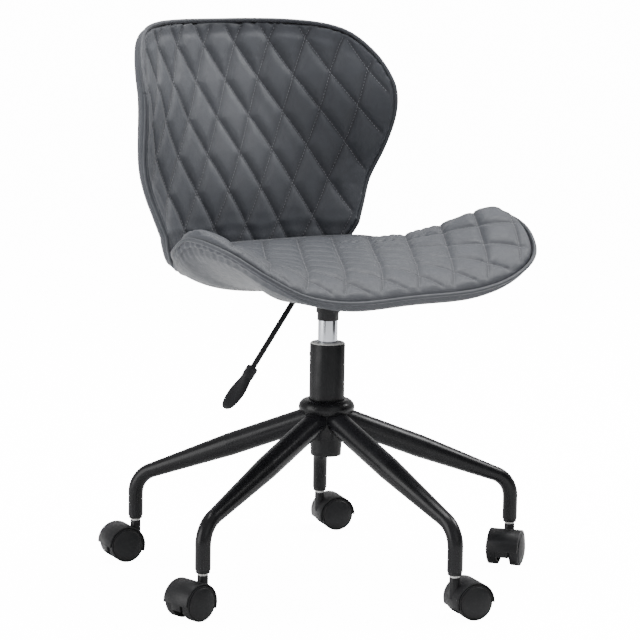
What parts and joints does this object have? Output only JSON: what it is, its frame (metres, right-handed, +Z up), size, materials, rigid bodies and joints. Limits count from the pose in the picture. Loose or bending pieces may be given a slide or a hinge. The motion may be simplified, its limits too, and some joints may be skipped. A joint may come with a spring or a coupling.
{
  "type": "swivel chair",
  "caption": "Armless swivel chair with a quilted wrap-round back and winged seat on a gas lift, and a tube-leg base on hooded twin-wheel casters.",
  "frame": {"origin": "on the floor, on the axis of the gas lift column", "axes": "+Z up; -Y is the way the sitter faces; +X is the sitter's left"},
  "size_m": [0.6225, 0.6114, 0.7911],
  "materials": {
    "gloss_black_steel": "gloss",
    "satin_black_steel": "satin",
    "pale_plastic": "satin",
    "steel": "satin",
    "chrome": "mirror",
    "rubber": "matte",
    "brass": "satin",
    "plywood": "matte",
    "grey_leather": "satin",
    "piping": "satin",
    "black_plastic": "satin"
  },
  "bodies": {
    "base": {"hub_sleeve": "gloss_black_steel", "hub_collar": "gloss_black_steel", "column_tube": "satin_black_steel", "column_bush": "pale_plastic", "column_end_plate": "steel", "thrust_bearing": "steel", "leg_1": "gloss_black_steel", "leg_2": "gloss_black_steel", "leg_3": "gloss_black_steel", "leg_4": "gloss_black_steel", "leg_5": "gloss_black_steel", "caster_sockets": "black_plastic", "stem_washers": "pale_plastic"},
    "spindle": {"piston_rod": "steel", "piston": "rubber", "lift_buffer": "rubber", "retaining_clip": "steel"},
    "seat": {"gas_cylinder": "chrome", "seat_mechanism": "satin_black_steel", "lever_pin": "steel", "mechanism_bolts": "steel", "tee_nuts": "steel", "seat_shell": "plywood", "seat_cushion": "grey_leather", "seat_under_cover": "grey_leather", "seat_piping": "piping", "back_shell": "plywood", "back_cushion": "grey_leather", "back_rear_cover": "grey_leather", "back_piping": "piping", "corner_brackets": "steel", "bracket_screws": "steel"},
    "lever": {"lever_rod": "satin_black_steel", "lever_paddle": "black_plastic"},
    "release": {"release_pin": "brass"},
    "caster_1": {"caster_stem_1": "steel", "caster_hood_1": "black_plastic", "caster_axle_1": "steel"},
    "wheel_left_1": {"wheel_left_1": "black_plastic"},
    "wheel_right_1": {"wheel_right_1": "black_plastic"},
    "caster_2": {"caster_stem_2": "steel", "caster_hood_2": "black_plastic", "caster_axle_2": "steel"},
    "wheel_left_2": {"wheel_left_2": "black_plastic"},
    "wheel_right_2": {"wheel_right_2": "black_plastic"},
    "caster_3": {"caster_stem_3": "steel", "caster_hood_3": "black_plastic", "caster_axle_3": "steel"},
    "wheel_left_3": {"wheel_left_3": "black_plastic"},
    "wheel_right_3": {"wheel_right_3": "black_plastic"},
    "caster_4": {"caster_stem_4": "steel", "caster_hood_4": "black_plastic", "caster_axle_4": "steel"},
    "wheel_left_4": {"wheel_left_4": "black_plastic"},
    "wheel_right_4": {"wheel_right_4": "black_plastic"},
    "caster_5": {"caster_stem_5": "steel", "caster_hood_5": "black_plastic", "caster_axle_5": "steel"},
    "wheel_left_5": {"wheel_left_5": "black_plastic"},
    "wheel_right_5": {"wheel_right_5": "black_plastic"}
  },
  "joints": [
    {"name": "seat_swivel", "type": "hinge", "parent": "base", "child": "spindle", "pos_m": [0, 0, 0.2], "axis": [0, 0, 1], "continuous": true},
    {"name": "height_slide", "type": "slide", "parent": "spindle", "child": "seat", "axis": [0, 0, 1], "range_m": [0, 0.09]},
    {"name": "lever_lift", "type": "hinge", "parent": "seat", "child": "lever", "pos_m": [-0.032, 0, 0.41], "axis": [0, 1, 0], "range_deg": [0, 6], "stiffness_Nm_per_rad": 3, "springref_deg": -2.86},
    {"name": "release_press", "type": "slide", "parent": "seat", "child": "release", "axis": [0, 0, -1], "range_m": [0, 0.0036]},
    {"name": "caster_swivel_1", "type": "hinge", "parent": "base", "child": "caster_1", "pos_m": [-0.01168, -0.29077, 0.06], "axis": [0, 0, 1], "continuous": true},
    {"name": "wheel_spin_left_1", "type": "hinge", "parent": "caster_1", "child": "wheel_left_1", "pos_m": [0.00924, -0.29756, 0.025], "axis": [0.309, 0.9511, 0], "continuous": true},
    {"name": "wheel_spin_right_1", "type": "hinge", "parent": "caster_1", "child": "wheel_right_1", "pos_m": [0.00924, -0.29756, 0.025], "axis": [0.309, 0.9511, 0], "continuous": true},
    {"name": "caster_swivel_2", "type": "hinge", "parent": "base", "child": "caster_2", "pos_m": [0.27293, -0.10096, 0.06], "axis": [0, 0, 1], "continuous": true},
    {"name": "wheel_spin_left_2", "type": "hinge", "parent": "caster_2", "child": "wheel_left_2", "pos_m": [0.25448, -0.11294, 0.025], "axis": [0.5446, -0.8387, 0], "continuous": true},
    {"name": "wheel_spin_right_2", "type": "hinge", "parent": "caster_2", "child": "wheel_right_2", "pos_m": [0.25448, -0.11294, 0.025], "axis": [0.5446, -0.8387, 0], "continuous": true},
    {"name": "caster_swivel_3", "type": "hinge", "parent": "base", "child": "caster_3", "pos_m": [0.18036, 0.22837, 0.06], "axis": [0, 0, 1], "continuous": true},
    {"name": "wheel_spin_left_3", "type": "hinge", "parent": "caster_3", "child": "wheel_left_3", "pos_m": [0.20089, 0.22049, 0.025], "axis": [0.3584, 0.9336, 0], "continuous": true},
    {"name": "wheel_spin_right_3", "type": "hinge", "parent": "caster_3", "child": "wheel_right_3", "pos_m": [0.20089, 0.22049, 0.025], "axis": [0.3584, 0.9336, 0], "continuous": true},
    {"name": "caster_swivel_4", "type": "hinge", "parent": "base", "child": "caster_4", "pos_m": [-0.16146, 0.2421, 0.06], "axis": [0, 0, 1], "continuous": true},
    {"name": "wheel_spin_left_4", "type": "hinge", "parent": "caster_4", "child": "wheel_left_4", "pos_m": [-0.1829, 0.24705, 0.025], "axis": [-0.225, -0.9744, 0], "continuous": true},
    {"name": "wheel_spin_right_4", "type": "hinge", "parent": "caster_4", "child": "wheel_right_4", "pos_m": [-0.1829, 0.24705, 0.025], "axis": [-0.225, -0.9744, 0], "continuous": true},
    {"name": "caster_swivel_5", "type": "hinge", "parent": "base", "child": "caster_5", "pos_m": [-0.28014, -0.07874, 0.06], "axis": [0, 0, 1], "continuous": true},
    {"name": "wheel_spin_left_5", "type": "hinge", "parent": "caster_5", "child": "wheel_left_5", "pos_m": [-0.30209, -0.08028, 0.025], "axis": [0.0698, -0.9976, 0], "continuous": true},
    {"name": "wheel_spin_right_5", "type": "hinge", "parent": "caster_5", "child": "wheel_right_5", "pos_m": [-0.30209, -0.08028, 0.025], "axis": [0.0698, -0.9976, 0], "continuous": true}
  ],
  "couplings": [
    {"joint": "release_press", "follows": "lever_lift", "m_per_rad": 0.032}
  ]
}
